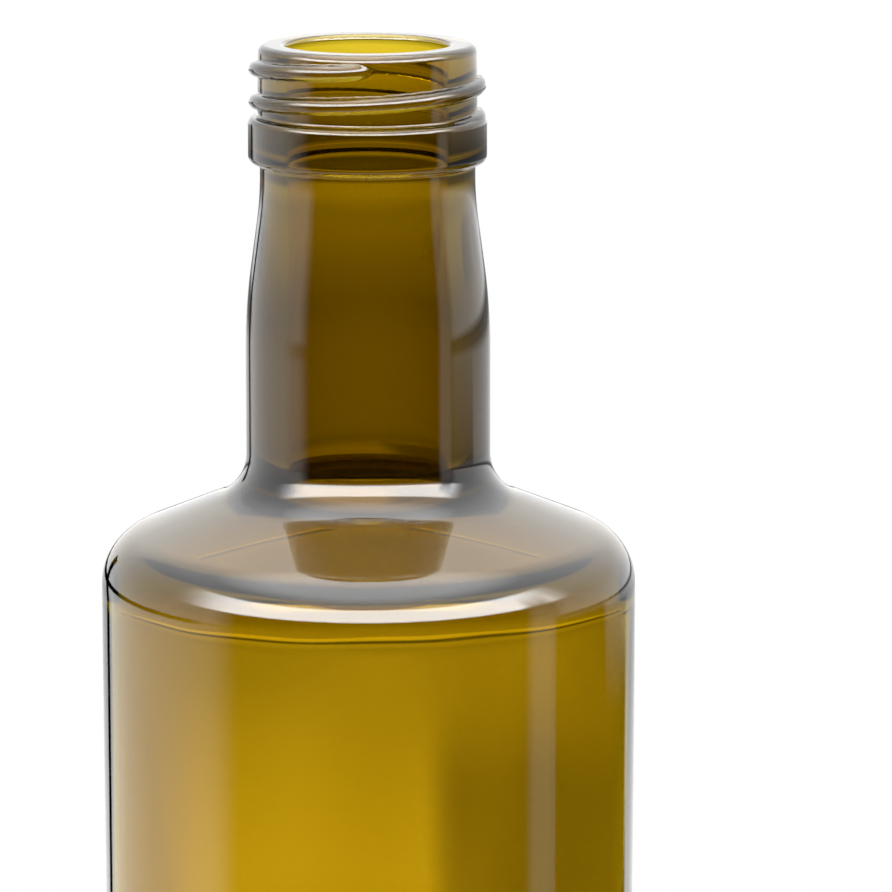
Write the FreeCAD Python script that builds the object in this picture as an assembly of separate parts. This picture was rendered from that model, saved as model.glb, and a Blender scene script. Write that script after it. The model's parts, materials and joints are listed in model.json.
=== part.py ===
import FreeCAD, Part
import math
import os

from FreeCAD import Vector

# Glass oil bottle with its screw cap and pouring insert taken off and standing beside it.
# Millimetres, +Z up, origin at the centre of the foot. The front of the bottle faces -Y.

# Bottle: overall
total_height = 228.0
body_radius = 34.5
body_wall = 2.4

# Bottle: foot
heel_round = 7.0
bearing_ring_width = 3.5
punt_height = 3.5
punt_flat_radius = 10.0
punt_round = 40.0
bearing_edge_round = 1.5
base_thickness = 5.0
floor_edge_height = 6.0
floor_round = 9.0

# Bottle: shoulder
shoulder_slope_deg = 22.3
shoulder_wall = 4.2
body_shoulder_round = 7.4
body_shoulder_inner_round = 5.5

# Bottle: neck, a straight stretch above the shoulder, a taper and a waist under the collar
neck_radius = 15.73
neck_straight_length = 23.1
neck_shoulder_round = 6.5
neck_shoulder_inner_round = 2.5
neck_taper_length = 14.2
neck_taper_round = 45.0
waist_radius = 13.77
waist_length = 4.64

# Bottle: finish, depths measured down from the rim
lip_radius = 14.02
lip_outer_round = 1.0
lip_inner_round = 0.7
bore_radius = 10.4
collar_radius = 15.26
collar_top_depth = 9.16
collar_height = 6.0
collar_edge_round = 1.3
collar_root_round = 0.7

# Screw thread on the lip: right-hand, starting at the front
thread_pitch = 4.2
thread_height = 1.14
thread_width = 2.05
thread_start_depth = 1.77
thread_end_in_collar = 1.5
thread_start_deg = -70.0
thread_run_out_deg = 32.0
thread_run_out_sink = 0.3

# Screw cap
cap_clearance = 0.2
thread_flank_clearance = 0.28
shell_thickness = 0.3
shell_seat_gap = 0.05
knurl_count = 72
knurl_depth = 0.22
knurl_top_margin = 2.2
knurl_height = 6.5
bead_depth = 0.25
bead_height = 1.2
bead_skirt_margin = 4.5
insert_wall = 0.95
insert_top = 0.9
insert_edge_round = 0.9
liner_thickness = 1.5
liner_edge_gap = 0.15

# Pouring insert
pourer_passage_radius = 6.5
pourer_funnel_length = 3.0
pourer_barrel_gap = 0.25
pourer_barrel_wall = 1.6
pourer_barrel_end = 2.0
pourer_lead_in = 0.9
pourer_rib_count = 3
pourer_rib_pitch = 3.6
pourer_rib_bite = 0.15
pourer_rib_width = 1.4
pourer_flange_thickness = 1.4
pourer_flange_inset = 0.45
pourer_stand_height = 6.0
pourer_spout_wall = 1.7
pourer_lip_flare = 2.0
pourer_lip_edge = 0.5

# Where the loose pieces stand: gap from the body, and bearing seen from above
cap_stand_gap = 15.0
cap_bearing_deg = -20.0
pourer_stand_gap = 17.0
pourer_bearing_deg = 204.0

# Levels and radii that follow from the sizes above
full_turn = 360.0
round_share = 0.98
cubic_mm_per_ml = 1000.0
rim_z = total_height
collar_top_z = rim_z - collar_top_depth
collar_bottom_depth = collar_top_depth + collar_height
collar_bottom_z = rim_z - collar_bottom_depth
waist_z = collar_bottom_z - waist_length
taper_z = waist_z - neck_taper_length
neck_shoulder_z = taper_z - neck_straight_length
shoulder_tan = math.tan(math.radians(shoulder_slope_deg))
shoulder_drop = shoulder_wall / math.cos(math.radians(shoulder_slope_deg))
body_shoulder_z = neck_shoulder_z - (body_radius - neck_radius) * shoulder_tan
body_inner_radius = body_radius - body_wall
thread_crest_radius = lip_radius + thread_height
thread_turns = (collar_top_depth + thread_end_in_collar - thread_start_depth) / thread_pitch
cap_bore_radius = max(thread_crest_radius, collar_radius) + cap_clearance
insert_radius = cap_bore_radius + insert_wall
shell_bore_radius = insert_radius + shell_seat_gap
shell_radius = shell_bore_radius + shell_thickness
cap_head_depth = insert_top + liner_thickness + pourer_stand_height
cap_height = shell_thickness + cap_head_depth + collar_bottom_depth
pourer_barrel_length = pourer_rib_count * pourer_rib_pitch + pourer_barrel_end + pourer_lead_in


def polar(radius, bearing_deg):
    """Point at a radius and a bearing in the XY plane."""
    way = math.radians(bearing_deg)
    return Vector(radius * math.cos(way), radius * math.sin(way), 0)


def rounded_outline(corners):
    """Face in the XZ plane inside a closed outline of corners (radius, height, round).

    Each corner is eased by a tangent arc of its round. Where the rounds at both ends of a side want more
    than its length, they are cut down to their share of it.
    """
    count = len(corners)
    points = [Vector(radius, 0, height) for radius, height, _ in corners]
    sides = [points[(i + 1) % count] - points[i] for i in range(count)]
    turns = [sides[i - 1].getAngle(sides[i]) for i in range(count)]
    reaches = [corner[2] * math.tan(turn / 2) for corner, turn in zip(corners, turns)]
    shares = []
    for i, side in enumerate(sides):
        wanted = reaches[i] + reaches[(i + 1) % count]
        room = side.Length * round_share
        shares.append(room / max(wanted, room))

    edges = []
    ends = []
    for i, point in enumerate(points):
        reach = reaches[i] * min(shares[i - 1], shares[i])
        before = Vector(sides[i - 1]).normalize()
        after = Vector(sides[i]).normalize()
        start = point - before * reach
        end = point + after * reach
        if reach > 0:
            arc_radius = reach / math.tan(turns[i] / 2)
            inset = arc_radius / math.cos(turns[i] / 2) - arc_radius
            middle = point + (after - before).normalize() * inset
            edges.append(Part.Arc(start, middle, end).toShape())
        ends.append((start, end))
    for i, (_, end) in enumerate(ends):
        edges.append(Part.LineSegment(end, ends[(i + 1) % count][0]).toShape())
    return Part.Face(Part.Wire(Part.__sortEdges__(edges)))


def turned(corners):
    """Solid of revolution of a rounded outline about the Z axis."""
    return rounded_outline(corners).revolve(Vector(0, 0, 0), Vector(0, 0, 1), full_turn)


def joined(base, addition):
    """One solid of two that overlap."""
    return base.fuse(addition).removeSplitter().Solids[0]


def thread_ridge(centre_radius, ridge_radius, start_z, start_deg, turns):
    """Right-hand ridge of round section that winds downwards from start_z about the Z axis."""
    rise = turns * thread_pitch
    helix = Part.makeHelix(thread_pitch, rise, centre_radius)
    section = Part.Circle(Vector(centre_radius, 0, 0), Vector(0, 1, 0), ridge_radius).toShape()
    ridge = Part.Wire(helix).makePipeShell([Part.Wire(section)], True, True)
    ridge.rotate(Vector(0, 0, 0), Vector(0, 0, 1), start_deg - turns * full_turn)
    ridge.translate(Vector(0, 0, start_z - rise))
    return ridge


def shoulder_inside_z(radius):
    """Height of the shoulder's inside face at a radius, parallel to its outside."""
    return neck_shoulder_z - (radius - neck_radius) * shoulder_tan - shoulder_drop


def bottle_thread():
    """The glass thread: a run-out that rises from the lip, then the full ridge down into the collar."""
    ridge_radius = thread_width / 2
    centre_radius = thread_crest_radius - ridge_radius
    start_z = rim_z - thread_start_depth
    run_turns = thread_run_out_deg / full_turn
    run_out = thread_ridge(centre_radius, ridge_radius, start_z, thread_start_deg, run_turns)
    full_z = start_z - run_turns * thread_pitch
    full_deg = thread_start_deg - thread_run_out_deg
    full = thread_ridge(centre_radius, ridge_radius, full_z, full_deg, thread_turns - run_turns)

    # A flat cut trims the run-out: inside the lip where it starts, outside the crest where it ends
    low = polar(lip_radius - thread_run_out_sink, thread_start_deg)
    high = polar(thread_crest_radius + thread_run_out_sink, full_deg)
    kept_side = Part.makePolygon([Vector(), low * 2 - high, high * 2 - low, Vector()])
    kept = Part.Face(kept_side).extrude(Vector(0, 0, total_height))
    return joined(full, run_out.common(kept).Solids[0])


def glass_bottle():
    """One piece of moulded glass: foot, body, shoulder, neck, collar, lip and thread, with a straight bore."""
    outside = [
        (0, punt_height, 0),
        (punt_flat_radius, punt_height, punt_round),
        (body_radius - heel_round - bearing_ring_width, 0, bearing_edge_round),
        (body_radius, 0, heel_round),
        (body_radius, body_shoulder_z, body_shoulder_round),
        (neck_radius, neck_shoulder_z, neck_shoulder_round),
        (neck_radius, taper_z, neck_taper_round),
        (waist_radius, waist_z, neck_taper_round),
        (waist_radius, collar_bottom_z, collar_root_round),
        (collar_radius, collar_bottom_z, collar_edge_round),
        (collar_radius, collar_top_z, collar_edge_round),
        (lip_radius, collar_top_z, collar_root_round),
        (lip_radius, rim_z, lip_outer_round),
    ]
    inside = [
        (bore_radius, rim_z, lip_inner_round),
        (bore_radius, shoulder_inside_z(bore_radius), neck_shoulder_inner_round),
        (body_inner_radius, shoulder_inside_z(body_inner_radius), body_shoulder_inner_round),
        (body_inner_radius, floor_edge_height, floor_round),
        (punt_flat_radius, punt_height + base_thickness, punt_round),
        (0, punt_height + base_thickness, 0),
    ]
    return joined(turned(outside + inside), bottle_thread())


def pourer_insert():
    """Soft plastic insert on its own axis, its flange's underside at height 0, its barrel below."""
    barrel_radius = bore_radius - pourer_barrel_gap
    barrel_bore_radius = barrel_radius - pourer_barrel_wall
    rib_radius = bore_radius + pourer_rib_bite
    flange_radius = lip_radius - pourer_flange_inset
    spout_radius = pourer_passage_radius + pourer_spout_wall
    lip_flare_radius = spout_radius + pourer_lip_flare
    barrel = [
        (pourer_passage_radius, 0, 0),
        (barrel_bore_radius, -pourer_funnel_length, 0),
        (barrel_bore_radius, -pourer_barrel_length, 0),
        (barrel_radius - pourer_lead_in, -pourer_barrel_length, 0),
        (barrel_radius, -pourer_barrel_length + pourer_lead_in, 0),
    ]
    rib_half = pourer_rib_width / 2
    for i in reversed(range(pourer_rib_count)):
        rib_z = -(i + 0.5) * pourer_rib_pitch
        barrel += [
            (barrel_radius, rib_z - rib_half, 0),
            (rib_radius, rib_z, 0),
            (barrel_radius, rib_z + rib_half, 0),
        ]
    spout = [
        (barrel_radius, 0, 0),
        (flange_radius, 0, 0),
        (flange_radius, pourer_flange_thickness, pourer_lip_edge),
        (spout_radius, pourer_flange_thickness, pourer_lip_edge),
        (spout_radius, pourer_stand_height - 2 * pourer_lip_edge, pourer_flange_thickness),
        (lip_flare_radius, pourer_stand_height - pourer_lip_edge, 0),
        (lip_flare_radius, pourer_stand_height, 0),
        (pourer_passage_radius, pourer_stand_height, pourer_lip_edge),
    ]
    return turned(barrel + spout)


def cap_thread_insert():
    """Plastic cup of the cap, crown up, its open end at height 0, level with the collar's underside when on.

    Its thread ridge runs half a pitch below the bottle's and stops short of the collar.
    """
    top_z = cap_height - shell_thickness
    seat_z = top_z - insert_top
    cup = turned(
        [
            (0, seat_z, 0),
            (cap_bore_radius, seat_z, 0),
            (cap_bore_radius, 0, 0),
            (insert_radius, 0, 0),
            (insert_radius, top_z, insert_edge_round),
            (0, top_z, 0),
        ]
    )
    ridge_radius = (thread_pitch - thread_width) / 2 - thread_flank_clearance
    centre_radius = lip_radius + cap_clearance + ridge_radius
    start_depth = thread_start_depth + thread_pitch / 2
    end_depth = collar_top_depth - thread_flank_clearance - ridge_radius
    turns = (end_depth - start_depth) / thread_pitch
    start_z = collar_bottom_depth - start_depth
    ridge = thread_ridge(centre_radius, ridge_radius, start_z, thread_start_deg, turns)
    return joined(cup, ridge)


def cap_liner():
    """Foam disc that lies under the crown of the plastic cup."""
    seat_z = cap_height - shell_thickness - insert_top
    disc = Part.makeCylinder(cap_bore_radius - liner_edge_gap, liner_thickness)
    disc.translate(Vector(0, 0, seat_z - liner_thickness))
    return disc


def knurl_ring():
    """Ring of fine upright ribs round the top of the shell."""
    steps = 2 * knurl_count
    ring = [polar(shell_radius + knurl_depth * (i % 2), i * full_turn / steps) for i in range(steps)]
    ring.append(ring[0])
    band = Part.Face(Part.makePolygon(ring)).extrude(Vector(0, 0, knurl_height))
    band = band.cut(Part.makeCylinder(shell_radius - shell_thickness / 2, knurl_height))
    band.translate(Vector(0, 0, cap_height - knurl_top_margin - knurl_height))
    return band


def cap_shell():
    """Drawn aluminium shell of the cap, crown up, open end at height 0, with its knurl and rolled bead."""
    top_z = cap_height - shell_thickness
    bead_z = bead_skirt_margin
    shell = turned(
        [
            (0, top_z, 0),
            (shell_bore_radius, top_z, insert_edge_round),
            (shell_bore_radius, 0, 0),
            (shell_radius, 0, 0),
            (shell_radius, bead_z, 0),
            (shell_radius + bead_depth, bead_z + bead_height / 2, bead_height),
            (shell_radius, bead_z + bead_height, 0),
            (shell_radius, cap_height, insert_edge_round + shell_thickness),
            (0, cap_height, 0),
        ]
    )
    return joined(shell, knurl_ring())


def stand_beside(shape, gap, own_radius, bearing_deg):
    """Move a shape from the axis to a bearing, clear of the body by a gap."""
    shape.translate(polar(body_radius + gap + own_radius, bearing_deg))
    return shape


def cap_piece_on_table(shape):
    """Turn a piece of the cap over, crown on the table, beside the bottle."""
    shape.rotate(Vector(0, 0, cap_height / 2), Vector(1, 0, 0), full_turn / 2)
    return stand_beside(shape, cap_stand_gap, shell_radius, cap_bearing_deg)


def pourer_on_table():
    """Stand the pouring insert on the end of its barrel, beside the bottle."""
    pourer = pourer_insert()
    pourer.translate(Vector(0, 0, pourer_barrel_length))
    return stand_beside(pourer, pourer_stand_gap, lip_radius, pourer_bearing_deg)


nodes = {
    "glass_bottle": glass_bottle(),
    "pourer_insert": pourer_on_table(),
    "cap_shell": cap_piece_on_table(cap_shell()),
    "cap_thread_insert": cap_piece_on_table(cap_thread_insert()),
    "cap_liner": cap_piece_on_table(cap_liner()),
}

os.makedirs("parts", exist_ok=True)
for name, shape in nodes.items():
    shape.exportStep(f"parts/{name}.step")
    volume_ml = shape.Volume / cubic_mm_per_ml
    print(f"{name}: {len(shape.Solids)} solid, valid {shape.isValid()}, {volume_ml:.2f} ml")
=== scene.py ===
# %% [markdown]
# # An amber glass oil bottle
# This lesson dresses a bottle that was built in CAD. The CAD model is loaded as a fixed frame: it gives
# every piece its place and size in metres, with +Z up and the origin at the centre of the bottle's foot.
# Blender then gives each piece its surface: clear amber glass, lacquered aluminium and white plastics.

# %% Load the frame
import json
import math

import bpy
import numpy as np
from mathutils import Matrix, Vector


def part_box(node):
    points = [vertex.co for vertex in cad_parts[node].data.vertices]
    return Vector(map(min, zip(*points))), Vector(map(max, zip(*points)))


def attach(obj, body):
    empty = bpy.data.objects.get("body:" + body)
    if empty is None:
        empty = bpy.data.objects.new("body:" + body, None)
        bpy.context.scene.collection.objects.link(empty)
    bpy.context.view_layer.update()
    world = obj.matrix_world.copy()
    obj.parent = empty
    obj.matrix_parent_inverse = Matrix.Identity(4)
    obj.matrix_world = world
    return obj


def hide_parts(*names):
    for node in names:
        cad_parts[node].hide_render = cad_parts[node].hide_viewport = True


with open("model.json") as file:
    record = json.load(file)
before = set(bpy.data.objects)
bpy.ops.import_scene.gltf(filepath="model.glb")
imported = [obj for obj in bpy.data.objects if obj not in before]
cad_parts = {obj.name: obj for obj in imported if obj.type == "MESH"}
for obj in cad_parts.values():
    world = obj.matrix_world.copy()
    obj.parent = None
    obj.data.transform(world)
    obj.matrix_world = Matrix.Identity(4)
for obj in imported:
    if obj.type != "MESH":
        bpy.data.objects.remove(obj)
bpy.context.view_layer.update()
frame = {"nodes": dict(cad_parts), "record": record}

MM = 0.001
mounts = {mount["name"]: mount for mount in frame["record"]["mounts"]}
print("nodes:", sorted(frame["nodes"]))

# %% [markdown]
# ## The camera
# A long lens from a little above: the mouth shows as a flat ellipse and the sides stay almost parallel.
# The camera's place was worked out from that ellipse and from the outline. It looks past the bottle's
# axis by a fraction of a degree, so the bottle stands left of the middle and its body leaves the frame.

# %% Camera
bottle_high = np.array(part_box("glass_bottle")[1])
rim_height = bottle_high[2]
camera_distance = 701.6 * MM
camera_above_rim = 80.8 * MM
camera_down = math.radians(10.73)
camera_right = math.radians(0.818)
lens_mm = 223.4

camera_data = bpy.data.cameras.new("camera")
camera_data.lens = lens_mm
camera = bpy.data.objects.new("camera", camera_data)
camera.location = (0, -camera_distance, rim_height + camera_above_rim)
camera.rotation_euler = (math.pi / 2 - camera_down, 0, -camera_right)
bpy.context.scene.collection.objects.link(camera)
bpy.context.scene.camera = camera
print("camera at", [round(v, 4) for v in camera.location])

# %% [markdown]
# ## Turned surfaces
# A bottle, a cap and a pouring insert are all turned shapes: an outline carried round an axis. Blender's
# Screw modifier could do that with a drawn curve. Here the outline is given as a few corners, each with the
# radius of its round, as a draughtsman would note it, because then every size is a number that can be read.
# One function turns the corners into points, and another carries the points round the axis into a mesh.

# %% Outline from corners
def eased_outline(corners, step, even=False, arc_step=math.radians(6)):
    """Points (radius, height) along corners (radius, height, round), as an array.

    Each inner corner becomes its tangent arc: start + R (sin a * way in + (1 - cos a) * way across), with
    the angle a running from 0 to the corner's turn. Where the rounds at both ends of a side want more than
    its length, both shrink to their share of it. Arcs are cut into lengths of about step. A straight run is
    cut evenly as well, or else at (1 - cos(pi t)) / 2 of its length: that starts and ends with about step
    and leaves few points in the middle, where a straight run needs none.
    """
    side_use = 0.98
    fewest_arc_cuts = 4
    corners = np.asarray(corners, float)
    points = corners[:, :2]
    sides = np.diff(points, axis=0)
    lengths = np.linalg.norm(sides, axis=1)
    ways = sides / lengths[:, None]
    turns = np.zeros(len(points))
    turns[1:-1] = np.arccos(np.clip((ways[:-1] * ways[1:]).sum(axis=1), -1, 1))
    reaches = corners[:, 2] * np.tan(turns / 2)
    wanted = np.maximum(reaches[:-1] + reaches[1:], side_use * lengths)
    shares = side_use * lengths / wanted
    reaches[1:-1] *= np.minimum(shares[:-1], shares[1:])

    stretches = []
    last = points[0]
    for i in range(1, len(points)):
        way = ways[i - 1]
        start = points[i] - way * reaches[i]
        steps_wanted = np.linalg.norm(start - last) / step
        if even:
            cuts = np.linspace(0, 1, max(1, math.ceil(steps_wanted)), endpoint=False)
        else:
            count = max(1, math.ceil(math.pi / 2 * math.sqrt(steps_wanted)))
            cuts = 0.5 - 0.5 * np.cos(np.linspace(0, math.pi, count, endpoint=False))
        stretches.append(last + (start - last) * cuts[:, None])
        last = start
        if reaches[i] > 0:
            radius = reaches[i] / math.tan(turns[i] / 2)
            side = np.sign(way[0] * ways[i][1] - way[1] * ways[i][0])
            across = side * np.array([-way[1], way[0]])
            by_angle = math.ceil(turns[i] / arc_step)
            by_length = math.ceil(turns[i] * radius / step)
            count = max(fewest_arc_cuts, by_angle, by_length)
            angles = np.linspace(0, turns[i], count, endpoint=False)[:, None]
            stretches.append(start + radius * (np.sin(angles) * way + (1 - np.cos(angles)) * across))
            last = points[i] + ways[i] * reaches[i]
    stretches.append(last[None])
    return np.concatenate(stretches)


# %% Mesh from a turned outline
def smooth_mesh(name, vertices, quads, triangles):
    """Mesh of smooth faces from whole arrays: all the quads first, then all the triangles."""
    corners = np.concatenate((quads.ravel(), triangles.ravel()))
    totals = np.concatenate((np.full(len(quads), 4), np.full(len(triangles), 3)))
    mesh = bpy.data.meshes.new(name)
    mesh.vertices.add(len(vertices))
    mesh.vertices.foreach_set("co", vertices.astype(np.float32).ravel())
    mesh.loops.add(len(corners))
    mesh.loops.foreach_set("vertex_index", corners.astype(np.int32))
    mesh.polygons.add(len(totals))
    mesh.polygons.foreach_set("loop_start", (np.cumsum(totals) - totals).astype(np.int32))
    mesh.polygons.foreach_set("use_smooth", np.ones(len(totals), bool))
    mesh.update(calc_edges=True)
    mesh.validate()
    print(f"{name}: {len(vertices)} points, {2 * len(quads) + len(triangles)} triangles")
    return mesh


def turned_mesh(name, radius, height, centre=(0, 0), closed=False):
    """Mesh of a turned shape: row i is a ring at height[i] with radius[i, j] at the angle 2 pi j / columns.

    A first or last row of no radius becomes one pole point with a fan of triangles. A closed outline joins
    its last row to its first. Outlines run so that the outside lies to their right, seen from the front.
    """
    no_radius = 1e-9
    rows, columns = radius.shape
    angles = np.linspace(0, 2 * np.pi, columns, endpoint=False)
    height = np.broadcast_to(np.reshape(height, (rows, -1)), radius.shape)
    x = radius * np.cos(angles) + centre[0]
    y = radius * np.sin(angles) + centre[1]
    grid = np.stack((x, y, height), axis=2)
    first_pole = not closed and radius[0].max() < no_radius
    last_pole = not closed and radius[-1].max() < no_radius
    rings = grid[int(first_pole):rows - int(last_pole)]
    index = np.arange(rings.shape[0] * columns).reshape(-1, columns)
    vertices = rings.reshape(-1, 3)

    lower = index if closed else index[:-1]
    upper = np.roll(index, -1, axis=0) if closed else index[1:]
    quads = np.stack((lower, np.roll(lower, -1, axis=1), np.roll(upper, -1, axis=1), upper), axis=2)
    fans = [np.empty((0, 3), int)]
    ends = ((first_pole, index[0], grid[0, 0]), (last_pole, index[-1][::-1], grid[-1, 0]))
    for is_pole, ring, point in ends:
        if is_pole:
            pole = np.full(columns, len(vertices))
            fans.append(np.stack((pole, np.roll(ring, -1), ring), axis=1))
            vertices = np.vstack((vertices, point))
    return smooth_mesh(name, vertices, quads.reshape(-1, 4), np.concatenate(fans))


# %% A mesh takes a CAD piece's place
def add_piece(mesh, material, body, node):
    """Put a mesh in the scene, in place of a CAD node, riding on that node's body."""
    piece = bpy.data.objects.new(mesh.name, mesh)
    mesh.materials.append(material)
    bpy.context.scene.collection.objects.link(piece)
    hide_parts(node)
    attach(piece, body)


# %% [markdown]
# ## The bottle's outline
# The outside runs from the middle of the foot out over the bearing ring, up the straight body, over the low
# shoulder, up the neck with its slight swell and waist, and over collar and lip to the rim. The inside then
# runs down the straight bore and the body to the floor. The CAD mesh has the same form, but glass needs a
# finer and more even grid, because every facet shows twice: once in its gloss and once in what it bends.

# %% Sizes of the glass
body_radius = bottle_high[0]
bore_radius = mounts["mouth"]["dims"]["r_mm"] * MM
collar_radius = mounts["collar"]["dims"]["r_mm"] * MM
neck_radius = 15.73 * MM
waist_radius = 13.77 * MM
lip_radius = 14.02 * MM
body_wall = 2.4 * MM
shoulder_wall = 4.2 * MM
shoulder_slope = math.radians(22.3)
collar_top = rim_height - 9.16 * MM
collar_bottom = collar_top - 6.0 * MM
waist_bottom = collar_bottom - 4.64 * MM
taper_bottom = waist_bottom - 14.2 * MM
neck_bottom = taper_bottom - 23.1 * MM
body_top = neck_bottom - (body_radius - neck_radius) * math.tan(shoulder_slope)
inner_radius = body_radius - body_wall
foot_ring_radius = body_radius - 10.5 * MM
punt_height = 3.5 * MM
punt_flat = 10.0 * MM
floor_height = 8.5 * MM
floor_edge_height = 6 * MM


def inside_of_shoulder(radius):
    """Height of the shoulder's inner face at a radius: the outer cone, lowered by the wall."""
    outer_face = neck_bottom - (radius - neck_radius) * math.tan(shoulder_slope)
    return outer_face - shoulder_wall / math.cos(shoulder_slope)


print("wall in mm: neck", round((neck_radius - bore_radius) / MM, 2), "body", round(body_wall / MM, 2))

# %% Outline of the glass
punt_round = 40 * MM
foot_ring_round = 1.5 * MM
heel_round = 7 * MM
shoulder_edge_round = 7.4 * MM
neck_foot_round = 6.5 * MM
taper_round = 80 * MM
waist_round = 45 * MM
collar_root_round = 0.7 * MM
collar_edge_round = 1.3 * MM
rim_round = 1.0 * MM
mouth_round = 0.7 * MM
throat_round = 2.5 * MM
inner_shoulder_round = 5.5 * MM
floor_edge_round = 9 * MM
collar_middle = (collar_bottom + collar_top) / 2
rim_middle = (lip_radius + bore_radius) / 2

outside = [
    (0, punt_height, 0),
    (punt_flat, punt_height, punt_round),
    (foot_ring_radius, 0, foot_ring_round),
    (body_radius, 0, heel_round),
    (body_radius, body_top, shoulder_edge_round),
    (neck_radius, neck_bottom, neck_foot_round),
    (neck_radius, taper_bottom, taper_round),
    (waist_radius, waist_bottom, waist_round),
    (waist_radius, collar_bottom, collar_root_round),
    (collar_radius, collar_bottom, collar_edge_round),
    (collar_radius, collar_middle, 0),
]
finish = [
    (collar_radius, collar_middle, 0),
    (collar_radius, collar_top, collar_edge_round),
    (lip_radius, collar_top, collar_root_round),
    (lip_radius, rim_height, rim_round),
    (rim_middle, rim_height, 0),
]
inside = [
    (rim_middle, rim_height, 0),
    (bore_radius, rim_height, mouth_round),
    (bore_radius, inside_of_shoulder(bore_radius), throat_round),
    (inner_radius, inside_of_shoulder(inner_radius), inner_shoulder_round),
    (inner_radius, floor_edge_height, floor_edge_round),
    (punt_flat, floor_height, punt_round),
    (0, floor_height, 0),
]

# The finish has the closest rows, because the thread is raised on it
glass_step = 0.75 * MM
finish_step = 0.105 * MM
outside_points = eased_outline(outside, glass_step)[:-1]
finish_points = eased_outline(finish, finish_step, even=True)[:-1]
inside_points = eased_outline(inside, glass_step)
outline = np.vstack((outside_points, finish_points, inside_points))
print("rows outside, on the finish, inside:", len(outside_points), len(finish_points), len(inside_points))

# %% [markdown]
# ## The screw thread
# The thread is a round ridge that winds down the lip, right-handed, for about two turns and melts into the
# collar. It could be a separate swept tube, joined to the lip. On the turned grid it only has to push points
# outwards: at each angle the ridge's height is known, so the wanted radius there is that of a circle's edge.
# A smooth maximum of lip and ridge leaves the soft fillets that fire-polished glass has.

# %% Smooth step and smooth maximum
def smooth_step(low, high, value):
    """0 below low, 1 above high, and 3 t^2 - 2 t^3 in between; with low above high it runs the other way."""
    t = np.clip((value - low) / (high - low), 0, 1)
    return t * t * (3 - 2 * t)


def smooth_max(a, b, width):
    """Larger of two arrays, rounded off where they are within width of each other."""
    near = np.maximum(width - np.abs(a - b), 0)
    return np.maximum(a, b) + near * near / (4 * width)


# %% Thread on the lip
glass_columns = 216
thread_pitch = 4.2 * MM
thread_height = 1.14 * MM
ridge_radius = 1.025 * MM
thread_start_depth = 1.77 * MM
thread_start = math.radians(-70)
# Turns from the start over which the ridge rises from the lip, and over which it melts away
thread_rise = (0.040, 0.098)
thread_melt = (1.80, 2.08)
turns_searched = 3
fillet = 0.22 * MM
# The last rows of the finish, on the flat of the rim, stay plain
plain_rim_rows = 8

around = np.linspace(0, 2 * np.pi, glass_columns, endpoint=False)
row = np.arange(len(outline))
inside_first = len(outline) - len(inside_points)
on_finish = (row >= len(outside_points)) & (row < inside_first - plain_rim_rows)
glass_height = outline[:, 1]
glass_radius = np.repeat(outline[:, :1], glass_columns, axis=1)
for turn in range(turns_searched):
    wound = ((thread_start - around) / (2 * np.pi)) % 1 + turn
    shown = smooth_step(*thread_rise, wound) * (1 - smooth_step(*thread_melt, wound))
    ridge_height = rim_height - thread_start_depth - thread_pitch * wound
    ridge_centre = lip_radius + thread_height - ridge_radius - (1 - shown) * (thread_height + fillet)
    offset = np.clip((glass_height[:, None] - ridge_height) / ridge_radius, -1, 1)
    ridge = ridge_centre + ridge_radius * np.sqrt(1 - offset * offset)
    ridge = np.where(np.abs(offset) < 1, ridge, 0)
    raised = smooth_max(glass_radius, ridge, fillet)
    glass_radius = np.where(on_finish[:, None], raised, glass_radius)
on_lip = on_finish & (glass_height > collar_top)
print("thread stands out to", round(glass_radius[on_lip].max() / MM, 2), "mm from the axis")

# %% [markdown]
# ## The uneven inside
# The outside of a bottle takes its shape from the mould, but the inside is only blown, so the wall is never
# even. A bump in the material would not do, because it leaves the depth of glass as it is. Slow waves round
# and along the inside, a fraction of a millimetre high, bend what shows through the body into soft streaks.
# They fade out towards the floor and the shoulder.

# %% Waves on the blown inside
wave_height = 0.17 * MM
# Waves per turn, lean in radians per metre of height, share of the wave height, phase
waves = ((3, 18.0, 1.0, 3.7), (7, -25.0, 0.7, 5.2), (12, 14.0, 0.4, 0.9))
floor_fade = (20 * MM, 50 * MM)
shoulder_fade = (body_top - 2 * MM, body_top - 16 * MM)

blown = smooth_step(*floor_fade, glass_height) * smooth_step(*shoulder_fade, glass_height)
swing = sum(
    share * np.cos(count * around + lean * glass_height[:, None] + phase)
    for count, lean, share, phase in waves
)
glass_radius = glass_radius + wave_height * (blown * (row >= inside_first))[:, None] * swing
print("the inside swings by", round(wave_height * np.abs(swing).max() / MM, 2), "mm at most")

# %% [markdown]
# ## Amber glass
# The bottle is soda-lime glass, coloured amber in the melt and fire-polished, so its surface is smooth and
# its colour comes from the depth of glass that light crosses. A tinted surface alone would look the same
# everywhere. A refracting surface round an absorbing volume makes the body gold and the neck, where the
# glass is about twice as thick, brown. A light tint on the surface keeps the thinnest edges amber too.

# %% Colours, materials and nodes
def linear(hex_colour):
    """sRGB hex such as "C8A020" as a linear RGBA tuple."""
    srgb = np.array([int(hex_colour[i:i + 2], 16) for i in (0, 2, 4)]) / 255
    rgb = np.where(srgb <= 0.04045, srgb / 12.92, ((srgb + 0.055) / 1.055) ** 2.4)
    return (*rgb.tolist(), 1.0)


def new_material(name):
    """Empty node material; returns it with its node tree."""
    material = bpy.data.materials.new(name)
    material.use_nodes = True
    material.node_tree.nodes.clear()
    return material, material.node_tree


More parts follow.
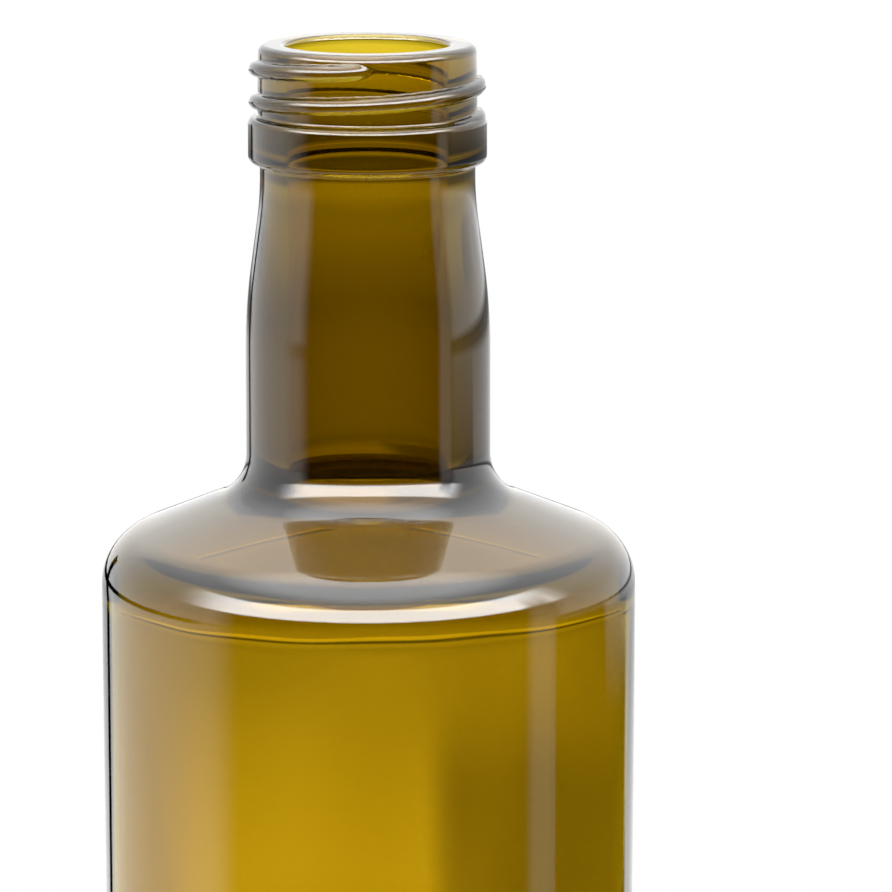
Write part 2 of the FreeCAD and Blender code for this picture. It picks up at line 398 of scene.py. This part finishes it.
def add(tree, kind, settings=None, **inputs):
    """Add a node, set its properties and its inputs; an input given as an output socket is linked.

    An input goes by its name, with _ for a space, or by _ and its number where names repeat.
    """
    node = tree.nodes.new(kind)
    for key, value in (settings or {}).items():
        setattr(node, key, value)
    for key, value in inputs.items():
        socket = node.inputs[int(key[1:])] if key[0] == "_" else node.inputs[key.replace("_", " ")]
        if isinstance(value, bpy.types.NodeSocket):
            tree.links.new(value, socket)
        else:
            socket.default_value = value
    return node


# %% The glass piece
def amber_glass():
    """Soda-lime glass; per metre, each channel loses the density times one minus the volume's colour."""
    material, tree = new_material("amber soda-lime glass")
    surface = add(tree, "ShaderNodeBsdfPrincipled", Base_Color=linear("FDE7B3"), Roughness=0.0, IOR=1.52,
                  Transmission_Weight=1.0)
    volume = add(tree, "ShaderNodeVolumeAbsorption", Color=linear("EDEA89"), Density=1190.0)
    add(tree, "ShaderNodeOutputMaterial", Surface=surface.outputs[0], Volume=volume.outputs[0])
    return material


glass = turned_mesh("bottle_glass", glass_radius, glass_height)
add_piece(glass, amber_glass(), "bottle", "glass_bottle")

# %% [markdown]
# ## The cap's aluminium shell
# The cap lies on its crown beside the bottle. Its shell is drawn from thin lacquered sheet: a cup with a
# rolled bead near its edge and a knurled band near its crown. The outline is turned like the glass. The
# knurl could be cut rib by rib, but a cosine wave added to the radius within its band takes one line, and
# leaves the ribs as soft as rolled metal is.

# %% Outline of the shell
cap_low, cap_high = (np.array(corner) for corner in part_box("cap_shell"))
cap_height = cap_high[2]
bead_depth = 0.25 * MM
shell_radius = (cap_high[0] - cap_low[0]) / 2 - bead_depth
shell_wall = 0.3 * MM
crown_round = 1.2 * MM
inner_crown_round = 0.9 * MM
hem_round = 0.14 * MM
shell_step = 0.36 * MM
shell_arc_step = math.radians(12)

shell_outside = [
    (0, 0, 0),
    (shell_radius, 0, crown_round),
    (shell_radius, cap_height, hem_round),
    (shell_radius - shell_wall / 2, cap_height, 0),
]
shell_inside = [
    (shell_radius - shell_wall / 2, cap_height, 0),
    (shell_radius - shell_wall, cap_height, hem_round),
    (shell_radius - shell_wall, shell_wall, inner_crown_round),
    (0, shell_wall, 0),
]
shell_outline = np.vstack(
    (
        eased_outline(shell_outside, shell_step, even=True, arc_step=shell_arc_step)[:-1],
        eased_outline(shell_inside, shell_step, arc_step=shell_arc_step),
    )
)
print("rows of the shell:", len(shell_outline))

# %% Knurl and bead
knurl_count = 72
knurl_depth = 0.22 * MM
knurl_from, knurl_to = 2.2 * MM, 8.7 * MM
knurl_fade = 0.5 * MM
columns_per_rib = 8
bead_middle = cap_height - 5.1 * MM
bead_half = 0.6 * MM

shell_around = np.linspace(0, 2 * np.pi, knurl_count * columns_per_rib, endpoint=False)
shell_z = shell_outline[:, 1]
is_outer = np.arange(len(shell_outline)) < np.argmax(shell_z)
in_band = smooth_step(knurl_from, knurl_from + knurl_fade, shell_z)
in_band = in_band * smooth_step(knurl_to, knurl_to - knurl_fade, shell_z)
bead = bead_depth * np.clip(1 - ((shell_z - bead_middle) / bead_half) ** 2, 0, 1)
ribs = knurl_depth * (0.5 + 0.5 * np.cos(knurl_count * shell_around))
shell_reach = shell_outline[:, :1] + is_outer[:, None] * (bead[:, None] + in_band[:, None] * ribs)
print("shell reaches", round(shell_reach.max() / MM, 2), "mm from the cap's axis")

# %% The shell piece
ring_spacing = 0.6 * MM
# Changes per metre round the cap, against about 1700 along it
ring_wander = 60
handling_patch = 6 * MM


def lacquered_aluminium():
    """Gold-lacquered aluminium: satin metal under a thin clear coat, with the fine rings of drawing."""
    material, tree = new_material("gold-lacquered aluminium")
    place = add(tree, "ShaderNodeTexCoord").outputs["Object"]
    # Faint rings along the axis, left by drawing and rolling; they change only slowly round it
    ring_scale = (ring_wander, ring_wander, 1 / ring_spacing)
    stretch = add(tree, "ShaderNodeMapping", Vector=place, Scale=ring_scale)
    rings = add(tree, "ShaderNodeTexNoise", Vector=stretch.outputs[0], Scale=1.0, Detail=3.0)
    # Soft patches where the cap was handled, duller and lighter
    patches = add(tree, "ShaderNodeTexNoise", Vector=place, Scale=1 / handling_patch, Detail=4.0)
    rough = add(tree, "ShaderNodeMapRange", Value=rings.outputs[0], From_Min=0.3, From_Max=0.7,
                To_Min=0.24, To_Max=0.36)
    rough = add(tree, "ShaderNodeMath", {"operation": "MULTIPLY_ADD"}, _0=patches.outputs[0], _1=0.10,
                _2=rough.outputs[0])
    tint = add(tree, "ShaderNodeMix", {"data_type": "RGBA"}, _0=patches.outputs[0], _6=linear("B98E3C"),
               _7=linear("CFA654"))
    bump = add(tree, "ShaderNodeBump", Height=rings.outputs[0], Strength=0.08, Distance=0.05 * MM)
    metal = add(tree, "ShaderNodeBsdfPrincipled", Base_Color=tint.outputs[2], Metallic=1.0,
                Roughness=rough.outputs[0], Coat_Weight=0.5, Coat_Roughness=0.12, Normal=bump.outputs[0])
    add(tree, "ShaderNodeOutputMaterial", Surface=metal.outputs[0])
    return material


def middle(node):
    """Centre of a node's box, seen from above."""
    low, high = (np.array(corner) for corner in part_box(node))
    return (low[:2] + high[:2]) / 2


shell = turned_mesh("cap_aluminium_shell", shell_reach, shell_z, middle("cap_shell"))
add_piece(shell, lacquered_aluminium(), "cap", "cap_shell")

# %% [markdown]
# ## The cap's plastic insert and foam liner
# Both keep their CAD shape: the insert's thread is already a true helix there, so a new mesh would add
# nothing. Injection-moulded polypropylene is slightly waxy and lets a little light in; the liner is cut from
# foamed polyethylene, so its face is a field of tiny closed cells.

# %% Moulded plastic and foam
def moulded_plastic(name, mark_size, colours, roughness, relief, **inner):
    """Plastic with soft flow marks, seen in its tint, its gloss and a faint relief.

    The other settings say how light enters: its bending and how it spreads under the skin.
    """
    material, tree = new_material(name)
    place = add(tree, "ShaderNodeTexCoord").outputs["Object"]
    flow = add(tree, "ShaderNodeTexNoise", Vector=place, Scale=1 / mark_size, Detail=3.0).outputs[0]
    dark, light = (linear(colour) for colour in colours)
    tint = add(tree, "ShaderNodeMix", {"data_type": "RGBA"}, _0=flow, _6=dark, _7=light)
    rough = add(tree, "ShaderNodeMapRange", Value=flow, To_Min=roughness[0], To_Max=roughness[1])
    bump = add(tree, "ShaderNodeBump", Height=flow, Strength=relief, Distance=0.1 * MM)
    plastic = add(tree, "ShaderNodeBsdfPrincipled", Base_Color=tint.outputs[2], Roughness=rough.outputs[0],
                  Normal=bump.outputs[0], **inner)
    add(tree, "ShaderNodeOutputMaterial", Surface=plastic.outputs[0])
    return material


def polyethylene_foam(cell_size):
    """White foamed polyethylene: matt, with closed cells of the given size, and painted shade in the hollows
    between them.
    """
    material, tree = new_material("foamed polyethylene")
    place = add(tree, "ShaderNodeTexCoord").outputs["Object"]
    cells = add(tree, "ShaderNodeTexVoronoi", Vector=place, Scale=1 / cell_size).outputs["Distance"]
    # Painted shade: the tint darkens from each cell's middle towards its edge, where the inverted bump sinks
    # into the hollow between cells.
    tint = add(tree, "ShaderNodeMix", {"data_type": "RGBA"}, _0=cells, _6=linear("F2F1EC"),
               _7=linear("DAD8D0"))
    bump = add(tree, "ShaderNodeBump", {"invert": True}, Height=cells, Strength=0.35, Distance=0.15 * MM)
    foam = add(tree, "ShaderNodeBsdfPrincipled", Base_Color=tint.outputs[2], Roughness=0.75, IOR=1.45,
               Normal=bump.outputs[0])
    add(tree, "ShaderNodeOutputMaterial", Surface=foam.outputs[0])
    return material


# %% Insert and liner get their plastics
# White polypropylene: a waxy gloss and a trace of light under the skin
polypropylene = moulded_plastic(
    "moulded white polypropylene",
    mark_size=4 * MM,
    colours=("E4E2DA", "F1EFE8"),
    roughness=(0.32, 0.46),
    relief=0.06,
    IOR=1.49,
    Subsurface_Weight=0.15,
    Subsurface_Radius=(1, 0.9, 0.8),
    Subsurface_Scale=0.8 * MM,
)
foam_cell = 0.45 * MM
for node, material in (("cap_thread_insert", polypropylene), ("cap_liner", polyethylene_foam(foam_cell))):
    cad_mesh = frame["nodes"][node].data
    cad_mesh.materials.clear()
    cad_mesh.materials.append(material)
    print(node, "is now", material.name)

# %% [markdown]
# ## The pouring insert
# A soft insert of natural polyethylene is pressed into the mouth to pour in a thin stream. It stands on the
# end of its barrel: ribs that grip the bore, a flange that stops on the rim, and a short spout with a drip
# lip. Its parts could be modelled one by one and joined, but all are round, so one outline holds them. It is
# turned as a closed ring, because oil runs through its middle.

# %% Sizes of the pouring insert
pourer_low, pourer_high = (np.array(corner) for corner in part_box("pourer_insert"))
pourer_top = pourer_high[2]
flange_radius = (pourer_high[0] - pourer_low[0]) / 2
flange_thickness = 1.4 * MM
spout_height = 6.0 * MM
flange_under = pourer_top - spout_height
flange_over = flange_under + flange_thickness
passage_radius = 6.5 * MM
spout_radius = passage_radius + 1.7 * MM
drip_lip_radius = spout_radius + 2.0 * MM
drip_lip_root = pourer_top - 1.0 * MM
drip_lip_edge = pourer_top - 0.5 * MM
barrel_radius = bore_radius - 0.25 * MM
barrel_bore = barrel_radius - 1.6 * MM
barrel_middle = flange_under / 2
lead_in = 0.9 * MM
passage_cone = 3.0 * MM
rib_count = 3
rib_radius = bore_radius + 0.15 * MM
rib_pitch, rib_half = 3.6 * MM, 0.7 * MM
print("ribs reach", round((rib_radius - bore_radius) / MM, 2), "mm past the bore they are pressed into")

# %% Outline of the pouring insert
soft_edge = 0.25 * MM
sharp_edge = 0.1 * MM
flange_round = 0.5 * MM
drip_lip_flare = 1.4 * MM
drip_lip_round = 0.2 * MM
spout_mouth_round = 0.5 * MM
passage_round = 1.0 * MM

pourer_corners = [
    (barrel_bore, barrel_middle, 0),
    (barrel_bore, 0, soft_edge),
    (barrel_radius - lead_in, 0, soft_edge),
    (barrel_radius, lead_in, soft_edge),
]
for rib in reversed(range(rib_count)):
    rib_middle = flange_under - (rib + 0.5) * rib_pitch
    pourer_corners += [
        (barrel_radius, rib_middle - rib_half, soft_edge),
        (rib_radius, rib_middle, soft_edge),
        (barrel_radius, rib_middle + rib_half, soft_edge),
    ]
pourer_corners += [
    (barrel_radius, flange_under, sharp_edge),
    (flange_radius, flange_under, soft_edge),
    (flange_radius, flange_over, flange_round),
    (spout_radius, flange_over, flange_round),
    (spout_radius, drip_lip_root, drip_lip_flare),
    (drip_lip_radius, drip_lip_edge, drip_lip_round),
    (drip_lip_radius, pourer_top, drip_lip_round),
    (passage_radius, pourer_top, spout_mouth_round),
    (passage_radius, flange_under, passage_round),
    (barrel_bore, flange_under - passage_cone, passage_round),
    (barrel_bore, barrel_middle, 0),
]
print("corners in the pouring insert's outline:", len(pourer_corners))

# %% The pouring insert's piece
pourer_columns = 160
pourer_step = 0.6 * MM
pourer_arc_step = math.radians(12)
pourer_outline = eased_outline(pourer_corners, pourer_step, even=True, arc_step=pourer_arc_step)[:-1]
pourer_reach = np.repeat(pourer_outline[:, :1], pourer_columns, axis=1)

# Uncoloured polyethylene: milky and soft, light spreads far under its satin skin
polyethylene = moulded_plastic(
    "natural polyethylene",
    mark_size=5 * MM,
    colours=("E9E7DD", "F5F3EC"),
    roughness=(0.30, 0.44),
    relief=0.05,
    IOR=1.51,
    Subsurface_Weight=0.45,
    Subsurface_Radius=(1, 0.92, 0.8),
    Subsurface_Scale=2.0 * MM,
)
pourer = turned_mesh(
    "pourer_polyethylene", pourer_reach, pourer_outline[:, 1], middle("pourer_insert"), closed=True
)
add_piece(pourer, polyethylene, "pourer", "pourer_insert")

# %% [markdown]
# ## The studio floor
# Clear glass shows what stands round it, so it is lit by placing bright and dark things where they are
# wanted in it. The bottle stands on matt white paper, which keeps its shadow. Farther off the paper melts
# into the white backdrop. Through the glass mostly this paper shows, so for rays that come through glass or
# off a gloss its brightness changes with the distance. A real studio would do that with lamps behind the
# paper; a ramp on the floor is easier to aim, and the camera itself never sees it.

# %% Sheets and graded light
WHITE = linear("FFFFFF")
RAY_KINDS = ("camera", "diffuse", "glossy", "transmission", "shadow")


def stage_sheet(name, corners, material, sees=RAY_KINDS):
    """A sheet of the studio from a grid of corner points; only the named kinds of ray see it."""
    rows, columns = corners.shape[:2]
    index = np.arange(rows * columns).reshape(rows, columns)
    quads = np.stack((index[:-1, :-1], index[:-1, 1:], index[1:, 1:], index[1:, :-1]), axis=2).reshape(-1, 4)
    mesh = bpy.data.meshes.new(name)
    mesh.from_pydata(corners.reshape(-1, 3).tolist(), [], quads.tolist())
    across, along = np.meshgrid(np.linspace(0, 1, columns), np.linspace(0, 1, rows))
    uv = np.stack((across, along), axis=2).reshape(-1, 2)[quads.ravel()]
    mesh.uv_layers.new(name="sheet").data.foreach_set("uv", uv.astype(np.float32).ravel())
    mesh.materials.append(material)
    sheet = bpy.data.objects.new(name, mesh)
    bpy.context.scene.collection.objects.link(sheet)
    for ray in RAY_KINDS:
        setattr(sheet, "visible_" + ray, ray in sees)
    print(name, "is seen by", ", ".join(sees))


def flat_grid(x_from, x_to, y_from, y_to, height):
    """Corner points of a level rectangle."""
    near = [(x_from, y_from, height), (x_to, y_from, height)]
    far = [(x_from, y_to, height), (x_to, y_to, height)]
    return np.array([near, far])


def graded_light(tree, place, stops, brightest):
    """Brightness along a place from 0 to 1, from stops (place, brightness).

    A ramp holds colours up to 1, so it keeps shares of the brightest, which are then multiplied up again.
    """
    ramp = add(tree, "ShaderNodeValToRGB", _0=place)
    while len(ramp.color_ramp.elements) < len(stops):
        ramp.color_ramp.elements.new(0.5)
    for element, (position, bright) in zip(ramp.color_ramp.elements, stops):
        share = bright / brightest
        element.position = position
        element.color = (share, share, share, 1)
    light = add(tree, "ShaderNodeMath", {"operation": "MULTIPLY"}, _0=ramp.outputs[0], _1=brightest)
    return light.outputs[0]


# %% White floor
floor_reach = 3.0
# Distances in metres between which the plain paper melts into the backdrop
paper_fade = (0.16, 0.42)
# Distance from the bottle's axis in metres, and the paper's brightness there
floor_stops = (
    (0.45, 1.35),
    (0.65, 0.88),
    (0.78, 0.76),
    (1.00, 1.00),
    (1.18, 1.00),
    (1.36, 0.30),
    (1.60, 0.25),
    (1.95, 1.60),
)
floor_brightest = 2.0


def paper_floor():
    """Matt white paper; past the object's shadow it fades into the white backdrop."""
    material, tree = new_material("matt white paper")
    path = add(tree, "ShaderNodeLightPath")
    looks = path.outputs["Is Camera Ray"]
    for kind in ("Is Glossy Ray", "Is Transmission Ray"):
        either = add(tree, "ShaderNodeMath", {"operation": "MAXIMUM"}, _0=looks, _1=path.outputs[kind])
        looks = either.outputs[0]
    place = add(tree, "ShaderNodeTexCoord")
    away = add(tree, "ShaderNodeVectorMath", {"operation": "LENGTH"}, _0=place.outputs["Object"])
    far = add(tree, "ShaderNodeMapRange", {"interpolation_type": "SMOOTHSTEP"}, Value=away.outputs["Value"],
              From_Min=paper_fade[0], From_Max=paper_fade[1])
    share = add(tree, "ShaderNodeMath", {"operation": "MULTIPLY"}, _0=looks, _1=far.outputs[0])
    reach = add(tree, "ShaderNodeMath", {"operation": "MULTIPLY"}, _0=away.outputs["Value"],
                _1=1 / floor_reach)
    stops = [(distance / floor_reach, bright) for distance, bright in floor_stops]
    shade = graded_light(tree, reach.outputs[0], stops, floor_brightest)
    level = add(tree, "ShaderNodeMix", {"data_type": "FLOAT"}, Factor=path.outputs["Is Camera Ray"],
                A=shade, B=1.0)
    paper = add(tree, "ShaderNodeBsdfDiffuse", Color=linear("F2F1EE"))
    white = add(tree, "ShaderNodeEmission", Color=WHITE, Strength=level.outputs[0])
    mixed = add(tree, "ShaderNodeMixShader", _0=share.outputs[0], _1=paper.outputs[0], _2=white.outputs[0])
    add(tree, "ShaderNodeOutputMaterial", Surface=mixed.outputs[0])
    return material


stage_sheet("floor", flat_grid(-floor_reach, floor_reach, -floor_reach, floor_reach, height=0), paper_floor())

# %% [markdown]
# ## The white room
# The room is the world's background, and the Light Path node lets it be a different room for each kind of
# ray. The camera sees plain white. Reflections see white walls that get brighter towards the ceiling, which
# gives the shoulder its milky veil. Rays through the glass see a white wall under a dark ceiling, and the
# light that falls on matt surfaces is even and low, so that white plastic keeps its shading.

# %% White room
room_light = 0.5
# Height over the horizon in degrees, and how bright a reflection finds the room there
gloss_stops = ((0, 1.6), (15, 1.7), (36, 2.4), (52, 3.0), (68, 6.5))
gloss_brightest = 8.0
wall_light = 0.9
ceiling_light = 0.03 * wall_light
# Degrees over the horizon between which the wall seen through glass gives way to the ceiling
wall_edge = (42, 52)


def upward(elevation):
    """Upward share of a direction, from its height over the horizon in degrees."""
    return math.sin(math.radians(elevation))


world = bpy.data.worlds.new("white room")
world.use_nodes = True
bpy.context.scene.world = world
tree = world.node_tree
tree.nodes.clear()
path = add(tree, "ShaderNodeLightPath")
place = add(tree, "ShaderNodeTexCoord")
up = add(tree, "ShaderNodeSeparateXYZ", Vector=place.outputs["Generated"]).outputs["Z"]
gloss = graded_light(tree, up, [(upward(rise), bright) for rise, bright in gloss_stops], gloss_brightest)
wall = add(tree, "ShaderNodeMapRange", {"interpolation_type": "SMOOTHSTEP"}, Value=up,
           From_Min=upward(wall_edge[0]), From_Max=upward(wall_edge[1]),
           To_Min=wall_light, To_Max=ceiling_light)
level = room_light
for kind, light in (("Is Glossy Ray", gloss), ("Is Transmission Ray", wall.outputs[0])):
    chosen = add(tree, "ShaderNodeMix", {"data_type": "FLOAT"}, Factor=path.outputs[kind], A=level, B=light)
    level = chosen.outputs[0]
level = add(tree, "ShaderNodeMath", {"operation": "MAXIMUM"}, _0=level, _1=path.outputs["Is Camera Ray"])
room = add(tree, "ShaderNodeBackground", Color=WHITE, Strength=level.outputs[0])
add(tree, "ShaderNodeOutputWorld", Surface=room.outputs[0])
print("room light:", room_light, "on matt surfaces,", wall_light, "through glass")

# %% [markdown]
# ## Soft boxes and dark velvet
# A photographer shapes glass with large soft boxes, for the pale veils and bright arcs, and with black
# velvet, for the dark lines that show its edges. Here each one is a sheet that glows or stays black and melts
# away at its edges. A sheet is seen only by the kind of ray that it is for, so it throws no shadow and stays
# out of the picture. Area lamps would be quicker, but their edges are hard and a lamp can't be black.

# %% Sheets round the bottle
sheet_columns = 33
above_floor = 0.001
sheet_bend = 0.02
toe_distance = 0.10


def curved_grid(turn_from, turn_to, rows):
    """Corner points of a sheet curved round the bottle between two bearings.

    Bearings are in degrees from the direction away from the camera, to the right. Each row is a distance and
    a height; rows on the floor come first, so that the sheet runs out over the floor towards the bottle.
    """
    turns = np.radians(np.linspace(turn_from, turn_to, sheet_columns))
    away = np.stack((np.sin(turns), np.cos(turns)), axis=1)
    grid = [np.column_stack((distance * away, np.broadcast_to(top, sheet_columns))) for distance, top in rows]
    return np.stack(grid)


def upright(distance, top):
    """Rows of a sheet that starts at a toe on the floor and stands up at a distance."""
    toe = (toe_distance, above_floor)
    return [toe, (distance - sheet_bend, above_floor), (distance, sheet_bend), (distance, top)]


# Places across or along a sheet, as shares of it: clear, full, still full, clear again. A place past 1 is off
# the sheet, so that the cloth ends there with a sharp edge.
even_fade = (0, 0.2, 0.8, 1)
narrow_fade = (0, 0.1, 0.9, 1)
upright_fade = (0, 1 / 3, 0.8, 1)
sharp_top = (0, 1 / 3, 2, 3)


def soft_sheet(name, strength, across=even_fade, along=upright_fade):
    """Lit cloth that melts away towards its edges; strength 0 is velvet.

    The cloth's share is a product of four smooth steps, two across the sheet and two along it.
    """
    material, tree = new_material(name)
    place = add(tree, "ShaderNodeUVMap", {"uv_map": "sheet"})
    split = add(tree, "ShaderNodeSeparateXYZ", Vector=place.outputs[0])
    share = 1.0
    for axis, places in (("X", across), ("Y", along)):
        for clear, full in (places[:2], places[:1:-1]):
            side = add(tree, "ShaderNodeMapRange", {"interpolation_type": "SMOOTHSTEP"},
                       Value=split.outputs[axis], From_Min=clear, From_Max=full)
            both = add(tree, "ShaderNodeMath", {"operation": "MULTIPLY"}, _0=share, _1=side.outputs[0])
            share = both.outputs[0]
    gone = add(tree, "ShaderNodeBsdfTransparent")
    cloth = add(tree, "ShaderNodeEmission", Color=WHITE, Strength=strength)
    mixed = add(tree, "ShaderNodeMixShader", _0=share, _1=gone.outputs[0], _2=cloth.outputs[0])
    add(tree, "ShaderNodeOutputMaterial", Surface=mixed.outputs[0])
    return material


# %% Left side: a tall box for the pale veil, and velvet for the dark line beside it
VELVET = 0.0
IN_GLOSS = ("glossy",)
stage_sheet("left_box", curved_grid(turn_from=-125, turn_to=-34, rows=upright(distance=0.32, top=0.5)),
            soft_sheet("left soft box", strength=1.7, across=(0, 0.40, 0.92, 1)), IN_GLOSS)
stage_sheet("left_gap", curved_grid(turn_from=-36, turn_to=-29, rows=upright(distance=0.34, top=0.2)),
            soft_sheet("left gap velvet", VELVET, across=(0, 0.3, 0.7, 1), along=sharp_top), IN_GLOSS)

# %% Above: a hot box overhead for matt surfaces and the mouth, one over the camera for the shoulder's arcs
over_camera = [(1.0, 0.42), (1.0, 1.05)]
stage_sheet("overhead_box", flat_grid(x_from=-0.45, x_to=0.45, y_from=0.08, y_to=0.5, height=1.06),
            soft_sheet("overhead soft box", strength=12.5, along=even_fade), ("diffuse", "transmission"))
stage_sheet("front_box", curved_grid(turn_from=78, turn_to=282, rows=over_camera),
            soft_sheet("front soft box", strength=16.0, across=(0, 0.15, 0.85, 1), along=(0, 0.1, 0.8, 1)),
            IN_GLOSS)

# %% Close in: a velvet ribbon for the line at the body's upper edge, and a grey card behind the bottle
at_shoulder = [(0.1, 0.146), (0.1, 0.1535)]
stage_sheet("left_ribbon", curved_grid(turn_from=-120, turn_to=-20, rows=at_shoulder),
            soft_sheet("left ribbon velvet", VELVET, across=narrow_fade, along=(0, 0.3, 0.7, 1)), IN_GLOSS)
stage_sheet("floor_cloth", flat_grid(x_from=0.008, x_to=0.30, y_from=0.25, y_to=0.63, height=0.002),
            soft_sheet("floor card", strength=0.5, across=(0, 0.16, 0.9, 1), along=(0, 0.1, 0.65, 1)),
            ("transmission",))

# %% Right side and front: a strip of light between velvets that keep the glass deep amber
right_from, right_to = 36, 97
right_low, right_rise = 0.105, 0.045
# Bearings between which the right velvet's upper edge rises
rise_from, rise_to = 60, 68
right_bearings = np.linspace(right_from, right_to, sheet_columns)
right_top = right_low + right_rise * smooth_step(rise_from, rise_to, right_bearings)
stage_sheet("right_box", curved_grid(turn_from=95, turn_to=114, rows=upright(distance=0.32, top=0.4)),
            soft_sheet("right strip box", strength=0.9, across=(0, 0.35, 0.65, 1)), IN_GLOSS)
stage_sheet("right_cloth", curved_grid(right_from, right_to, rows=upright(distance=0.33, top=right_top)),
            soft_sheet("right velvet", VELVET, across=(0, 0.08, 2, 3), along=(0, 1 / 3, 0.85, 1)), IN_GLOSS)
stage_sheet("front_cloth", curved_grid(turn_from=90, turn_to=250, rows=upright(distance=0.36, top=0.25)),
            soft_sheet("front velvet", VELVET, across=narrow_fade, along=sharp_top), IN_GLOSS)

# %% [markdown]
# ## The view transform
# The Standard view transform shows white paper as white, as a product photo does; Filmic or AgX would grey
# it.

bpy.context.scene.view_settings.view_transform = "Standard"
